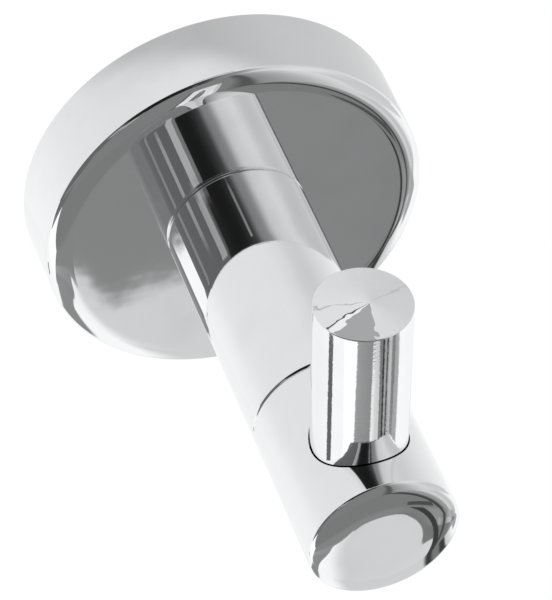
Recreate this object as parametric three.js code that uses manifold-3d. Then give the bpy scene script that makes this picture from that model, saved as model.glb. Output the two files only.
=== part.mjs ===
// Towel hook: a round rosette on a concealed wall plate carries a round post with a solid head,
// and a round peg stands up from the head. Millimetres, +Z up. The wall is the plane Y = 0 and
// the hook projects along -Y. The origin is the centre of the wall plate's back.
import * as THREE from "three";
import { mergeVertices } from "three/addons/utils/BufferGeometryUtils.js";
import Module from "manifold-3d";

const wasm = await Module();
wasm.setup();

// Rosette
const ROSETTE_DIAMETER = 54;
const ROSETTE_DEPTH = 12;
const ROSETTE_DRAFT = 0.15;
const ROSETTE_SIDE_WALL = 3;
const ROSETTE_FRONT_WALL = 2;
const ROSETTE_EDGE_WIDTH = 3.5;
const ROSETTE_EDGE_DEPTH = 1.4;

// Post and head, both turned about the post's axis, with lengths measured from the wall
const POST_DIAMETER = 20;
const POST_WALL = 1.5;
const JOINT_FROM_WALL = 49;
const END_FROM_WALL = 72;
const POST_FOOT_RADIUS = 0.5;
const POST_EDGE_RADIUS = 0.7;
const HEAD_REAR_EDGE_RADIUS = 0.15;
const HEAD_FRONT_EDGE_WIDTH = 5.5;
const HEAD_FRONT_EDGE_DEPTH = 1.2;
const SPIGOT_LENGTH = 8.5;

// Peg, with heights measured from the post's axis
const PEG_DIAMETER = 12.5;
const PEG_FROM_WALL = 61;
const PEG_FOOT_HEIGHT = 2;
const PEG_EDGE_HEIGHT = 32.15;
const PEG_EDGE_RADIUS = 0.15;
const PEG_FOOT_CHAMFER = 0.3;
const PEG_TIP_RISE = 1;
const PEG_TIP_OFFSET_X = 0.5;
const PEG_TIP_OFFSET_Y = -0.85;
const PEG_BORE_GAP = 0.15;

// Wall plate with two screw slots and a flat for the set screw
const PLATE_CLEARANCE = 0.4;
const PLATE_THICKNESS = 2.5;
const PLATE_COLLAR_WALL = 2.5;
const PLATE_COLLAR_DEPTH = 7.5;
const PLATE_FLAT_FROM_AXIS = 22.8;
const SLOT_WIDTH = 5;
const SLOT_LENGTH = 9;
const SLOT_SPACING = 26;

// M6 tie bolt, its washers, and the M6 stud in the peg
const M6_DIAMETER = 6;
const TIE_BOLT_LENGTH = 45;
const TIE_BOLT_HEAD_DIAMETER = 10;
const TIE_BOLT_HEAD_HEIGHT = 4;
const TIE_BOLT_KEY = 4;
const TIE_BOLT_KEY_DEPTH = 2.2;
const LOCK_WASHER_DIAMETER = 11.8;
const LOCK_WASHER_THICKNESS = 1.6;
const LOCK_WASHER_SLIT = 1;
const LOCK_WASHER_SLIT_SLANT = 20;
const FLAT_WASHER_DIAMETER = 18;
const FLAT_WASHER_THICKNESS = 1.2;
const STUD_FOOT_HEIGHT = -6.2;
const STUD_TOP_HEIGHT = 11.5;
const THREAD_END_CHAMFER = 0.6;

// Centring bush in the post, and the dowel pin that keeps the peg upright
const BUSH_LENGTH = 10;
const BUSH_NOSE_DIAMETER = 8;
const PIN_DIAMETER = 2.5;
const PIN_LENGTH = 7;
const PIN_FROM_AXIS = 6.2;

// M5 set screw through the underside of the rosette
const SET_SCREW_DIAMETER = 5;
const SET_SCREW_LENGTH = 4;
const SET_SCREW_FROM_WALL = 5;
const SET_SCREW_KEY = 2.5;
const SET_SCREW_KEY_DEPTH = 2;
const SET_SCREW_CHAMFER = 0.5;

// Clearances: faces that touch, threads, pieces that slide into each other, and ends of blind holes
const CONTACT_GAP = 0.05;
const THREAD_GAP = 0.1;
const SLIDE_GAP = 0.15;
const BOLT_HOLE_GAP = 0.3;
const BLIND_HOLE_SPARE = 0.5;

// Facets round a full turn, and steps along a rounded edge or a slot's end
const LARGE_FACETS = 72;
const POST_FACETS = 64;
const PEG_FACETS = 56;
const SMALL_FACETS = 32;
const EDGE_STEPS = 5;
const SMALL_EDGE_STEPS = 3;
const SLOT_END_STEPS = 8;

const CUT_OVERRUN = 1;
const QUARTER_TURN = Math.PI / 2;

// Places that follow from the driving dimensions
const rosetteRadius = ROSETTE_DIAMETER / 2;
const rosetteInside = rosetteRadius - ROSETTE_SIDE_WALL;
const frontWallBack = ROSETTE_DEPTH - ROSETTE_FRONT_WALL;
const postRadius = POST_DIAMETER / 2;
const tubeInside = postRadius - POST_WALL;
const headBack = JOINT_FROM_WALL + CONTACT_GAP;
const spigotRadius = tubeInside - SLIDE_GAP;
const spigotBack = headBack - SPIGOT_LENGTH;
const pegRadius = PEG_DIAMETER / 2;
const boltRadius = M6_DIAMETER / 2;
const boltHoleRadius = boltRadius + BOLT_HOLE_GAP;
const threadRadius = boltRadius + THREAD_GAP;
const noseRadius = BUSH_NOSE_DIAMETER / 2;
const pinRadius = PIN_DIAMETER / 2;
const flatWasherBack = frontWallBack - CONTACT_GAP - FLAT_WASHER_THICKNESS;
const lockWasherBack = flatWasherBack - CONTACT_GAP - LOCK_WASHER_THICKNESS;
const boltHeadFront = lockWasherBack - CONTACT_GAP;
const boltHeadBack = boltHeadFront - TIE_BOLT_HEAD_HEIGHT;
const boltTip = boltHeadFront + TIE_BOLT_LENGTH;
const bushBack = ROSETTE_DEPTH + CONTACT_GAP;
const bushNoseBack = frontWallBack + CONTACT_GAP;
const pinFront = bushNoseBack + PIN_LENGTH;
const setScrewTip = -PLATE_FLAT_FROM_AXIS - CONTACT_GAP;

const chrome = new THREE.MeshStandardMaterial({ color: 0xdfe1e3, roughness: 0.05, metalness: 1 });
const zincSteel = new THREE.MeshStandardMaterial({ color: 0xb4b8bb, roughness: 0.35, metalness: 1 });
const darkSteel = new THREE.MeshStandardMaterial({ color: 0x5c5f63, roughness: 0.4, metalness: 1 });
const brass = new THREE.MeshStandardMaterial({ color: 0xc8a659, roughness: 0.3, metalness: 1 });

// Points of an elliptical arc, as [radius, along] pairs, between two angles in quarter turns.
function arc(centre, size, from, to, steps) {
  return Array.from({ length: steps + 1 }, (_, i) => {
    const angle = (from + ((to - from) * i) / steps) * QUARTER_TURN;
    return [centre[0] + size[0] * Math.cos(angle), centre[1] + size[1] * Math.sin(angle)];
  });
}

// Solid of revolution about the Y axis from [radius, along Y] pairs. A profile that doesn't start
// on the axis is a ring, so it is closed on its first point.
function turned(profile, facets) {
  const points = profile.map(([radius, along]) => new THREE.Vector2(radius, along));
  if (THREE.ShapeUtils.isClockWise(points)) points.reverse();
  if (points[0].x > 0 && points.at(-1).x > 0) points.push(points[0].clone());
  return new THREE.LatheGeometry(points, facets);
}

// Solid of revolution about the post's axis from [radius, distance from the wall] pairs.
function turnedFromWall(profile, facets) {
  return turned(profile.map(([radius, fromWall]) => [radius, -fromWall]), facets);
}

// Round bar at the dowel pin's place, under the post's axis, between two distances from the wall.
function pinBar(radius, back, front) {
  const bar = new THREE.CylinderGeometry(radius, radius, front - back, SMALL_FACETS);
  return bar.translate(0, -(back + front) / 2, -PIN_FROM_AXIS);
}

// Upright round bar between two heights at a distance from the wall.
function uprightBar(radius, bottom, top, fromWall, facets = SMALL_FACETS) {
  const bar = new THREE.CylinderGeometry(radius, radius, top - bottom, facets).rotateX(QUARTER_TURN);
  return bar.translate(0, -fromWall, (bottom + top) / 2);
}

// Hexagonal bar along Y for a key socket, from its width across flats.
function hexBar(acrossFlats, length) {
  const corner = acrossFlats / Math.sqrt(3);
  return new THREE.CylinderGeometry(corner, corner, length, 6);
}

// A closed geometry as a body that can be cut.
function solid(geometry) {
  const bare = geometry.clone();
  bare.deleteAttribute("normal");
  bare.deleteAttribute("uv");
  const merged = mergeVertices(bare);
  const vertProperties = new Float32Array(merged.attributes.position.array);
  const triVerts = new Uint32Array(merged.index.array);
  return new wasm.Manifold(new wasm.Mesh({ numProp: 3, vertProperties, triVerts }));
}

// The geometry that is left of a blank when every cutter is taken away.
function cut(blank, ...cutters) {
  const body = cutters.reduce((rest, cutter) => rest.subtract(solid(cutter)), solid(blank));
  const mesh = body.getMesh();
  const geometry = new THREE.BufferGeometry();
  geometry.setAttribute("position", new THREE.BufferAttribute(mesh.vertProperties, mesh.numProp));
  geometry.setIndex(new THREE.BufferAttribute(mesh.triVerts, 1));
  geometry.computeVertexNormals();
  return geometry;
}

// Upright slot with round ends through the wall plate, centred at a distance beside the axis.
function slotCutter(x) {
  const radius = SLOT_WIDTH / 2;
  const straight = (SLOT_LENGTH - SLOT_WIDTH) / 2;
  const outline = new THREE.Shape();
  outline.absarc(x, straight, radius, 0, Math.PI);
  outline.absarc(x, -straight, radius, Math.PI, 2 * Math.PI);
  const depth = PLATE_THICKNESS + 2 * CUT_OVERRUN;
  const options = { depth, bevelEnabled: false, curveSegments: SLOT_END_STEPS };
  const slot = new THREE.ExtrudeGeometry(outline, options);
  return slot.rotateX(QUARTER_TURN).translate(0, CUT_OVERRUN, 0);
}

// Cup with a slightly drawn-in side and a soft elliptical front edge. The front wall has the
// bush's centre hole and the pin hole, and the underside has the set screw's threaded hole.
function rosetteGeometry() {
  const frontRadius = rosetteRadius - ROSETTE_DRAFT;
  const edgeCentre = [frontRadius - ROSETTE_EDGE_WIDTH, ROSETTE_DEPTH - ROSETTE_EDGE_DEPTH];
  const noseHole = noseRadius + SLIDE_GAP;
  const cup = turnedFromWall(
    [
      [rosetteInside, 0],
      [rosetteRadius, 0],
      ...arc(edgeCentre, [ROSETTE_EDGE_WIDTH, ROSETTE_EDGE_DEPTH], 0, 1, EDGE_STEPS),
      [noseHole, ROSETTE_DEPTH],
      [noseHole, frontWallBack],
      [rosetteInside, frontWallBack],
    ],
    LARGE_FACETS,
  );
  const pinHole = pinBar(
    pinRadius + SLIDE_GAP,
    frontWallBack - CUT_OVERRUN,
    ROSETTE_DEPTH + CUT_OVERRUN,
  );
  const setScrewHole = uprightBar(
    SET_SCREW_DIAMETER / 2 + THREAD_GAP,
    -rosetteRadius - CUT_OVERRUN,
    -rosetteInside + CUT_OVERRUN,
    SET_SCREW_FROM_WALL,
  );
  return cut(cup, pinHole, setScrewHole);
}

// Shallow cup that is screwed to the wall, with a flat on the underside of its collar.
function wallPlateGeometry() {
  const radius = rosetteInside - PLATE_CLEARANCE;
  const collarInside = radius - PLATE_COLLAR_WALL;
  const cup = turnedFromWall(
    [
      [0, 0],
      [radius, 0],
      [radius, PLATE_COLLAR_DEPTH],
      [collarInside, PLATE_COLLAR_DEPTH],
      [collarInside, PLATE_THICKNESS],
      [0, PLATE_THICKNESS],
    ],
    LARGE_FACETS,
  );
  const flatDepth = PLATE_COLLAR_DEPTH + 2 * CUT_OVERRUN;
  const flat = new THREE.BoxGeometry(2 * radius, flatDepth, radius);
  flat.translate(0, CUT_OVERRUN - flatDepth / 2, -PLATE_FLAT_FROM_AXIS - radius / 2);
  return cut(cup, flat, slotCutter(-SLOT_SPACING / 2), slotCutter(SLOT_SPACING / 2));
}

// Plain tube with a small rounding at each end.
function postTubeGeometry() {
  const edge = POST_EDGE_RADIUS;
  const foot = POST_FOOT_RADIUS;
  const back = ROSETTE_DEPTH + CONTACT_GAP;
  return turnedFromWall(
    [
      [tubeInside, back],
      ...arc([postRadius - foot, back + foot], [foot, foot], -1, 0, SMALL_EDGE_STEPS),
      ...arc([postRadius - edge, JOINT_FROM_WALL - edge], [edge, edge], 0, 1, SMALL_EDGE_STEPS),
      [tubeInside, JOINT_FROM_WALL],
    ],
    POST_FACETS,
  );
}

// Turned head with a spigot for the tube and a soft elliptical front edge. It has a blind hole for
// the tie bolt from behind, a bore for the peg from above and a blind hole for the stud under it.
function headGeometry() {
  const rear = HEAD_REAR_EDGE_RADIUS;
  const front = [HEAD_FRONT_EDGE_WIDTH, HEAD_FRONT_EDGE_DEPTH];
  const blindEnd = boltTip + BLIND_HOLE_SPARE;
  const blank = turnedFromWall(
    [
      [0, blindEnd],
      [threadRadius, blindEnd],
      [threadRadius, spigotBack],
      [spigotRadius, spigotBack],
      [spigotRadius, headBack],
      ...arc([postRadius - rear, headBack + rear], [rear, rear], -1, 0, SMALL_EDGE_STEPS),
      ...arc([postRadius - front[0], END_FROM_WALL - front[1]], front, 0, 1, EDGE_STEPS),
      [0, END_FROM_WALL],
    ],
    POST_FACETS,
  );
  const boreTop = postRadius + CUT_OVERRUN;
  const pegBore = uprightBar(pegRadius + PEG_BORE_GAP, PEG_FOOT_HEIGHT, boreTop, PEG_FROM_WALL, PEG_FACETS);
  const studBottom = STUD_FOOT_HEIGHT - BLIND_HOLE_SPARE;
  const studHole = uprightBar(threadRadius, studBottom, PEG_FOOT_HEIGHT + CUT_OVERRUN, PEG_FROM_WALL);
  return cut(blank, pegBore, studHole);
}

// Round peg with a blind hole for the stud and a low conical tip. The point of the cone lies off
// the peg's axis, so the tip leans over by more the nearer it is to the point.
function pegGeometry() {
  const foot = PEG_FOOT_HEIGHT + CONTACT_GAP;
  const holeEnd = STUD_TOP_HEIGHT + BLIND_HOLE_SPARE;
  const edgeCentre = [pegRadius - PEG_EDGE_RADIUS, PEG_EDGE_HEIGHT - PEG_EDGE_RADIUS];
  const tip = PEG_EDGE_HEIGHT + PEG_TIP_RISE;
  const peg = turned(
    [
      [0, holeEnd],
      [threadRadius, holeEnd],
      [threadRadius, foot],
      [pegRadius - PEG_FOOT_CHAMFER, foot],
      [pegRadius, foot + PEG_FOOT_CHAMFER],
      ...arc(edgeCentre, [PEG_EDGE_RADIUS, PEG_EDGE_RADIUS], 0, 1, SMALL_EDGE_STEPS),
      [0, tip],
    ],
    PEG_FACETS,
  ).rotateX(QUARTER_TURN);
  const place = peg.attributes.position;
  for (let i = 0; i < place.count; i += 1) {
    const lean = Math.max(0, (place.getZ(i) - PEG_EDGE_HEIGHT) / PEG_TIP_RISE);
    place.setX(i, place.getX(i) + lean * PEG_TIP_OFFSET_X);
    place.setY(i, place.getY(i) + lean * PEG_TIP_OFFSET_Y);
  }
  return peg;
}

// Socket screw whose head lies inside the rosette.
function tieBoltGeometry() {
  const headRadius = TIE_BOLT_HEAD_DIAMETER / 2;
  const bolt = turnedFromWall(
    [
      [0, boltHeadBack],
      [headRadius, boltHeadBack],
      [headRadius, boltHeadFront],
      [boltRadius, boltHeadFront],
      [boltRadius, boltTip - THREAD_END_CHAMFER],
      [boltRadius - THREAD_END_CHAMFER, boltTip],
      [0, boltTip],
    ],
    SMALL_FACETS,
  );
  const socket = hexBar(TIE_BOLT_KEY, 2 * TIE_BOLT_KEY_DEPTH).translate(0, -boltHeadBack, 0);
  return cut(bolt, socket);
}

// Threaded rod on the peg's axis with a chamfer at each end.
function pegStudGeometry() {
  const endRadius = boltRadius - THREAD_END_CHAMFER;
  const rod = turned(
    [
      [0, STUD_FOOT_HEIGHT],
      [endRadius, STUD_FOOT_HEIGHT],
      [boltRadius, STUD_FOOT_HEIGHT + THREAD_END_CHAMFER],
      [boltRadius, STUD_TOP_HEIGHT - THREAD_END_CHAMFER],
      [endRadius, STUD_TOP_HEIGHT],
      [0, STUD_TOP_HEIGHT],
    ],
    SMALL_FACETS,
  );
  return rod.rotateX(QUARTER_TURN);
}

// Flat ring about the post's axis between two distances from the wall.
function ringGeometry(inside, outside, back, front) {
  return turnedFromWall([[inside, back], [outside, back], [outside, front], [inside, front]], SMALL_FACETS);
}

// Spring washer: a ring with one slanted slit at its top.
function lockWasherGeometry() {
  const outside = LOCK_WASHER_DIAMETER / 2;
  const ring = ringGeometry(threadRadius, outside, lockWasherBack, lockWasherBack + LOCK_WASHER_THICKNESS);
  const slitDepth = LOCK_WASHER_THICKNESS + 2 * CUT_OVERRUN;
  const slit = new THREE.BoxGeometry(LOCK_WASHER_SLIT, slitDepth, outside);
  slit.rotateZ(THREE.MathUtils.degToRad(LOCK_WASHER_SLIT_SLANT));
  slit.translate(0, -lockWasherBack - LOCK_WASHER_THICKNESS / 2, outside / 2 + boltRadius / 2);
  return cut(ring, slit);
}

// Bush with a nose for the rosette's centre hole, a bore for the tie bolt and a blind pin hole.
function rearBushGeometry() {
  const bushRadius = tubeInside - CONTACT_GAP;
  const bushFront = bushBack + BUSH_LENGTH;
  const bush = turnedFromWall(
    [
      [boltHoleRadius, bushNoseBack],
      [noseRadius, bushNoseBack],
      [noseRadius, bushBack],
      [bushRadius, bushBack],
      [bushRadius, bushFront],
      [boltHoleRadius, bushFront],
    ],
    POST_FACETS,
  );
  const pinHole = pinBar(
    pinRadius + SLIDE_GAP,
    bushBack - CUT_OVERRUN,
    pinFront + BLIND_HOLE_SPARE,
  );
  return cut(bush, pinHole);
}

// Headless screw about the Y axis, tip at the origin, with a key socket in its outer end.
function setScrewGeometry() {
  const radius = SET_SCREW_DIAMETER / 2;
  const screw = turned(
    [
      [0, 0],
      [radius - SET_SCREW_CHAMFER, 0],
      [radius, SET_SCREW_CHAMFER],
      [radius, SET_SCREW_LENGTH],
      [0, SET_SCREW_LENGTH],
    ],
    SMALL_FACETS,
  );
  const socket = hexBar(SET_SCREW_KEY, 2 * SET_SCREW_KEY_DEPTH).translate(0, SET_SCREW_LENGTH, 0);
  return cut(screw, socket);
}

// A named piece with its shape and finish.
function piece(name, geometry, material) {
  const mesh = new THREE.Mesh(geometry, material);
  mesh.name = name;
  return mesh;
}

// Pieces that stay on the wall
const wallFixing = new THREE.Group();
wallFixing.add(piece("wall_plate", wallPlateGeometry(), zincSteel));

// Pieces turned about the post's axis, and what clamps them together
const post = new THREE.Group();
const flatWasherFront = flatWasherBack + FLAT_WASHER_THICKNESS;
post.add(
  piece("rosette", rosetteGeometry(), chrome),
  piece("post_tube", postTubeGeometry(), chrome),
  piece("head", headGeometry(), chrome),
  piece("tie_bolt", tieBoltGeometry(), zincSteel),
  piece("lock_washer", lockWasherGeometry(), zincSteel),
  piece(
    "flat_washer",
    ringGeometry(boltHoleRadius, FLAT_WASHER_DIAMETER / 2, flatWasherBack, flatWasherFront),
    zincSteel,
  ),
  piece("rear_bush", rearBushGeometry(), brass),
  piece("locating_pin", pinBar(pinRadius, bushNoseBack, pinFront), darkSteel),
);

// The peg and its stud, on the peg's own axis
const peg = new THREE.Group();
peg.position.y = -PEG_FROM_WALL;
peg.add(
  piece("peg", pegGeometry(), chrome),
  piece("peg_stud", pegStudGeometry(), darkSteel),
);

// The set screw points up from the underside of the rosette to the wall plate's flat
const setScrew = piece("set_screw", setScrewGeometry(), darkSteel);
setScrew.rotation.x = -QUARTER_TURN;
setScrew.position.set(0, -SET_SCREW_FROM_WALL, setScrewTip);

const towelHook = new THREE.Group();
towelHook.add(wallFixing, post, peg, setScrew);

export default towelHook;
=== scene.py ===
"""Looks of a polished towel hook, laid out as a Blender add-on and run as a script.

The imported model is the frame: metres, +Z up, the wall is the plane Y = 0 and the hook projects along -Y.
"""

import math

import bpy
import numpy as np
from mathutils import Matrix, Vector


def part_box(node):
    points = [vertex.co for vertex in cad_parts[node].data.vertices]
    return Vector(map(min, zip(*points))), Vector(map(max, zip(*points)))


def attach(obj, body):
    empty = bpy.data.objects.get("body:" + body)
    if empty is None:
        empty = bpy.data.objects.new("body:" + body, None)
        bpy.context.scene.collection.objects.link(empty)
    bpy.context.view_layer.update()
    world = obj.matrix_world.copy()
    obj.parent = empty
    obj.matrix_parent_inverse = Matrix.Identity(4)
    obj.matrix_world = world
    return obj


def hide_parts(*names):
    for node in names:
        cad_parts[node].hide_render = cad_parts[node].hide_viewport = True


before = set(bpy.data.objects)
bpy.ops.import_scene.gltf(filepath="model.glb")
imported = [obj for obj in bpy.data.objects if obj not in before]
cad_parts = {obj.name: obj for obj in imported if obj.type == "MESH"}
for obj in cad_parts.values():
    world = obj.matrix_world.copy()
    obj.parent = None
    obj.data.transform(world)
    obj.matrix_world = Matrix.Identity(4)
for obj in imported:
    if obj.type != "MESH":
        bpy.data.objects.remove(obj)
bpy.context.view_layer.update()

bl_info = {
    "name": "Towel hook",
    "version": (1, 0, 0),
    "blender": (4, 5, 0),
    "location": "View3D > Sidebar > Towel hook",
    "description": "Builds the polished surfaces, finishes and studio of a wall-mounted towel hook",
    "category": "Object",
}

MM = 0.001
WELD_DISTANCE = 1e-8
LEAST_LENGTH = 1e-12
QUARTER = math.pi / 2
FULL_TURN = 360

# Boxes of the CAD nodes, as lowest and highest corners
ROSETTE_LOW, ROSETTE_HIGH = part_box("rosette")
POST_LOW, POST_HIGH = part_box("post_tube")
HEAD_LOW, HEAD_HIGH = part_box("head")
PEG_LOW, PEG_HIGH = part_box("peg")
PLATE_LOW, PLATE_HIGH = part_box("wall_plate")
SCREW_LOW, SCREW_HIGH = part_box("set_screw")
PEG_FROM_WALL = -(PEG_LOW.y + PEG_HIGH.y) / 2
SCREW_FROM_WALL = -(SCREW_LOW.y + SCREW_HIGH.y) / 2

# Axes of turned shapes: origin, direction at angle 0, at a quarter turn and along the axis
POST_AXIS = np.array(((0, 0, 0), (0, 0, 1), (1, 0, 0), (0, -1, 0)), float)
ROSETTE_AXIS = np.array(((0, 0, 0), (0, 0, -1), (1, 0, 0), (0, -1, 0)), float)
PEG_AXIS = np.array(((0, -PEG_FROM_WALL, 0), (0, -1, 0), (1, 0, 0), (0, 0, 1)), float)
SCREW_AXIS = np.array(((0, -SCREW_FROM_WALL, 0), (0, -1, 0), (1, 0, 0), (0, 0, -1)), float)

# Windows of faces round a hole: spread in hole radii, slack in angle, least half width in columns, rows,
# and the reach to each side along the axis
WINDOW_SPREAD, WINDOW_SLACK, WINDOW_LEAST, WINDOW_ROWS = 1.4, 1.05, 8, 16
SCREW_WINDOW, PEG_WINDOW = 4 * MM, 8.8 * MM
# The peg's tip: quarter turns of its edge, rows, how they crowd to the point, softness of the point
PEG_EDGE_TURN, TIP_ROWS, TIP_CROWDING, TIP_SOFTNESS = 0.9, 48, 1.5, 0.035
# The wall plate: rows of its rounded edges, points of a slot's end, degrees from which an edge is sharp
PLATE_EDGE_ROWS, SLOT_END_POINTS, SHARP_DEGREES = 3, 25, 35
# The set screw: columns, chamfer, the socket's lead-in as a share of its width, the cone on its floor
SCREW_COLUMNS, SCREW_CHAMFER, SOCKET_LEAD, SOCKET_CONE = 96, 0.5 * MM, 0.06, 0.4 * MM


def linear(code):
    """Linear colour of an sRGB hex value."""
    parts = np.array([int(code[i : i + 2], 16) for i in (1, 3, 5)]) / 255
    return tuple(np.where(parts <= 0.04045, parts / 12.92, ((parts + 0.055) / 1.055) ** 2.4))


def length(name, description, default):
    """Length property whose default is given in millimetres."""
    kind = {"unit": "LENGTH", "subtype": "DISTANCE", "precision": 5}
    return bpy.props.FloatProperty(name=name, description=description, default=default * MM, **kind)


def colour(name, description, code):
    """Colour property whose default is an sRGB hex value."""
    return bpy.props.FloatVectorProperty(
        name=name, description=description, default=linear(code), size=3, min=0, max=1, subtype="COLOR"
    )


class HookSizes(bpy.types.PropertyGroup):
    """Sizes of the shown surfaces that the boxes of the CAD nodes don't give."""

    columns: bpy.props.IntProperty(
        name="Columns", description="Faces round a full turn, a multiple of 16", default=192, min=48
    )
    edge_rows: bpy.props.IntProperty(
        name="Edge rows", description="Faces across a rounded edge", default=16, min=4
    )
    rosette_draft: length("Rosette draft", "How far the rosette's side draws in towards its front", 0.15)
    rosette_edge_width: length("Rosette edge width", "Front edge, measured across the face", 3.5)
    rosette_edge_depth: length("Rosette edge depth", "Front edge, measured along the axis", 1.4)
    rosette_wall: length("Rosette wall", "Thickness of the rosette's side", 3)
    rosette_front_wall: length("Rosette front wall", "Thickness of the rosette's front", 2)
    rosette_centre_hole: length("Rosette centre hole", "Radius of the hole behind the post", 4.15)
    rosette_rear_edge: length("Rosette rear edge", "Rounding of the rim that meets the wall", 0.25)
    screw_hole: length("Set screw hole", "Radius of the hole in the rosette's underside", 2.6)
    post_wall: length("Post wall", "Thickness of the post's tube", 1.5)
    post_edge: length("Post edge", "Rounding of the post where it meets the head", 0.7)
    post_foot: length("Post foot", "Rounding of the post where it meets the rosette", 0.5)
    head_rear_edge: length("Head rear edge", "Rounding of the head where it meets the post", 0.15)
    head_edge_width: length("Head edge width", "Front edge, measured across the end", 5.5)
    head_edge_depth: length("Head edge depth", "Front edge, measured along the axis", 1.2)
    spigot_radius: length("Spigot radius", "Radius of the head's spigot in the tube", 8.35)
    bolt_hole: length("Bolt hole", "Radius of the blind holes for the M6 threads", 3.1)
    bolt_hole_end: length("Bolt hole end", "Distance of the blind hole's end from the wall", 52.6)
    bore_gap: length("Bore gap", "Gap round the peg where it enters the head", 0.15)
    bore_floor: length("Bore floor", "Height of the bore's floor above the post's axis", 2)
    stud_hole_foot: length("Stud hole foot", "Height of the foot of the stud's hole", -6.7)
    stud_hole_top: length("Stud hole top", "Height of the top of the stud's hole in the peg", 12)
    peg_edge: length("Peg edge", "Rounding round the peg's tip", 0.15)
    peg_foot_chamfer: length("Peg foot chamfer", "Chamfer at the peg's foot", 0.3)
    tip_rise: length("Tip rise", "Height of the conical tip", 1)
    tip_offset_x: length("Tip offset to the right", "Offset of the cone's point along X", 0.5)
    tip_offset_y: length("Tip offset to the wall", "Offset of the cone's point along Y", -0.85)
    plate_thickness: length("Plate thickness", "Thickness of the wall plate", 2.5)
    plate_collar: length("Plate collar", "Thickness of the wall plate's collar", 2.5)
    plate_edge: length("Plate edge", "Rounding of the wall plate's pressed edges", 0.25)
    slot_width: length("Slot width", "Width of the screw slots", 5)
    slot_length: length("Slot length", "Length of the screw slots", 9)
    slot_spacing: length("Slot spacing", "Distance between the screw slots", 26)
    key_width: length("Key width", "Width across flats of the set screw's socket", 2.5)
    key_depth: length("Key depth", "Depth of the set screw's socket", 2)


class HookFinish(bpy.types.PropertyGroup):
    """Colours of the finishes."""

    chrome: colour("Chrome", "Polished chrome plate", "#F3F4F5")
    chrome_haze: colour("Chrome haze", "Chrome under a faint film of wiping marks", "#F0F1F2")
    zinc: colour("Zinc", "Bright zinc plate", "#B9BDC1")
    zinc_spangle: colour("Zinc spangle", "Darker grain of the zinc plate", "#9DA2A7")
    oxide: colour("Black oxide", "Black oxide on steel", "#2B2D30")
    oxide_worn: colour("Worn oxide", "Oxide that is rubbed thin", "#4A4C50")
    brass: colour("Brass", "Turned brass", "#C9A85C")
    brass_dull: colour("Dull brass", "Brass that has dulled a little", "#B08F48")


# Points of a profile are (radius, along) pairs with the material on the left, so normals point right.


def line(start, end, rows=2):
    """Straight piece of a profile: points evenly from start to end, normal square to it."""
    start, end = np.array(start, float), np.array(end, float)
    step = np.linspace(0, 1, rows)[:, None]
    direction = (end - start) / np.linalg.norm(end - start)
    normal = np.array([direction[1], -direction[0]])
    return start + step * (end - start), np.repeat(normal[None], rows, 0)


def arc(centre, size, start, end, rows):
    """Elliptical piece of a profile: centre + (a cos t, b sin t), t in quarter turns, with the normal
    (cos t / a, sin t / b)."""
    angle = np.linspace(start, end, rows + 1) * QUARTER
    points = np.array(centre) + np.stack([size[0] * np.cos(angle), size[1] * np.sin(angle)], -1)
    normals = np.stack([np.cos(angle) / size[0], np.sin(angle) / size[1]], -1)
    return points, normals / np.linalg.norm(normals, axis=-1, keepdims=True)


def full_turn(columns):
    """Angles of a full turn, with the first one repeated at the end."""
    return np.linspace(0, 2 * math.pi, columns + 1)


def spokes(angles, axis):
    """Directions square to an axis: cos angle x the one at 0 + sin angle x the one at a quarter turn."""
    return np.cos(angles)[:, None] * axis[1] + np.sin(angles)[:, None] * axis[2]


def turned(section, angles, axis):
    """Surface of revolution: radius x (cos angle, sin angle) across the axis plus the distance along it."""
    origin, along, spoke = axis[0], axis[3], spokes(angles, axis)
    points, normals = section
    grid = origin + points[:, :1, None] * spoke[None] + points[:, 1:, None] * along
    facing = normals[:, :1, None] * spoke[None] + normals[:, 1:, None] * along
    return grid, facing


def joined_line(corners):
    """Straight pieces of a profile through a list of corners."""
    return [line(start, end) for start, end in zip(corners, corners[1:])]


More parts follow.
